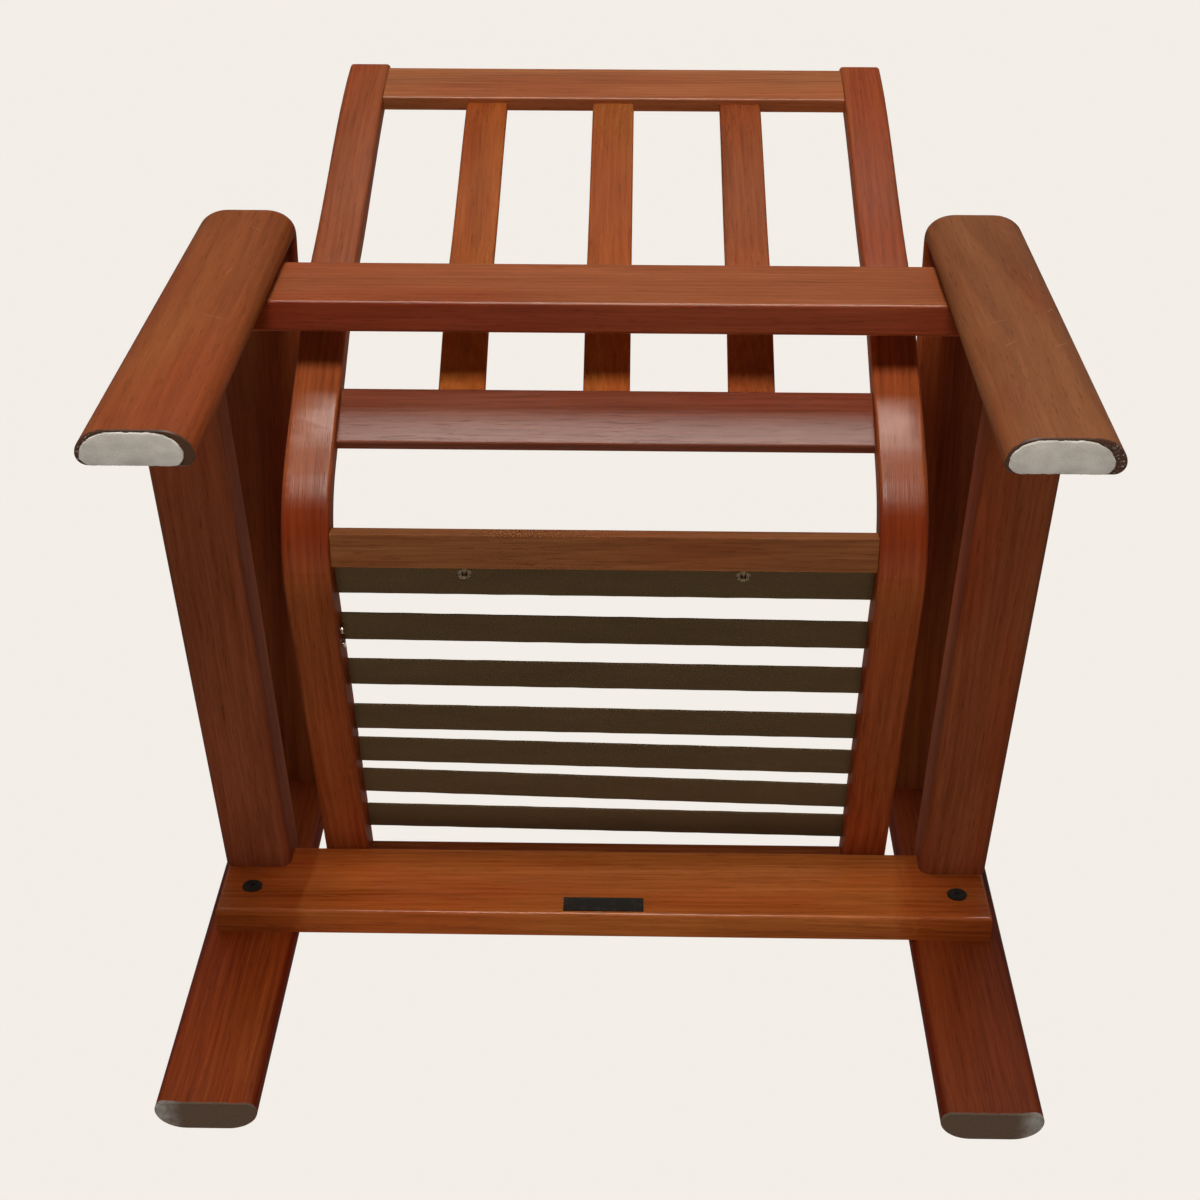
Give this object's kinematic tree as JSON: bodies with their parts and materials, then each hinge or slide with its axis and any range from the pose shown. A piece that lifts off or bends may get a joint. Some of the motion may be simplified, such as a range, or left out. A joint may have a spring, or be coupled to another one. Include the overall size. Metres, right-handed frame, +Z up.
{
  "type": "easy chair frame",
  "caption": "Bare wooden easy chair frame with arched sides, a bent seat and back frame, back slats and webbing straps for loose cushions.",
  "frame": {"origin": "on the floor, in the middle of the chair's width and depth", "axes": "+Z up; -Y towards the front of the chair; +X towards the sitter's left"},
  "size_m": [0.74, 0.6869, 0.8177],
  "materials": {
    "lacquered_wood": "worn satin lacquer over reddish brown straight-grained hardwood",
    "pale_wood": "raw, inside the joints",
    "webbing": "matt close weave",
    "felt": "worn felt",
    "black_bolt": "black satin",
    "black_plate": "black satin, bare of any marking",
    "bright_metal": "bright plated",
    "zinc_steel": "dull zinc plated"
  },
  "bodies": {
    "root": {"back_lower_rail": "lacquered_wood", "back_top_rail": "lacquered_wood", "blank_plate": "black_plate", "corner_tongues": "pale_wood", "frame_dowels": "pale_wood", "frame_screws": "zinc_steel", "front_rail": "lacquered_wood", "front_rail_bolts": "black_bolt", "left_armrest": "lacquered_wood", "left_felt_pad": "felt", "left_front_leg": "lacquered_wood", "left_member": "lacquered_wood", "left_rear_leg": "lacquered_wood", "left_side_rail": "lacquered_wood", "left_slat": "lacquered_wood", "leg_inserts": "zinc_steel", "member_screws": "bright_metal", "middle_slat": "lacquered_wood", "press_studs": "bright_metal", "rear_rail": "lacquered_wood", "rear_rail_bolts": "black_bolt", "right_armrest": "lacquered_wood", "right_felt_pad": "felt", "right_front_leg": "lacquered_wood", "right_member": "lacquered_wood", "right_rear_leg": "lacquered_wood", "right_side_rail": "lacquered_wood", "right_slat": "lacquered_wood", "seat_front_rail": "lacquered_wood", "seat_rear_rail": "lacquered_wood", "side_rail_dowels": "pale_wood", "webbing_clips": "zinc_steel", "webbing_strap_1": "webbing", "webbing_strap_2": "webbing", "webbing_strap_3": "webbing", "webbing_strap_4": "webbing", "webbing_strap_5": "webbing", "webbing_strap_6": "webbing", "webbing_strap_7": "webbing"}
  },
  "joints": []
}
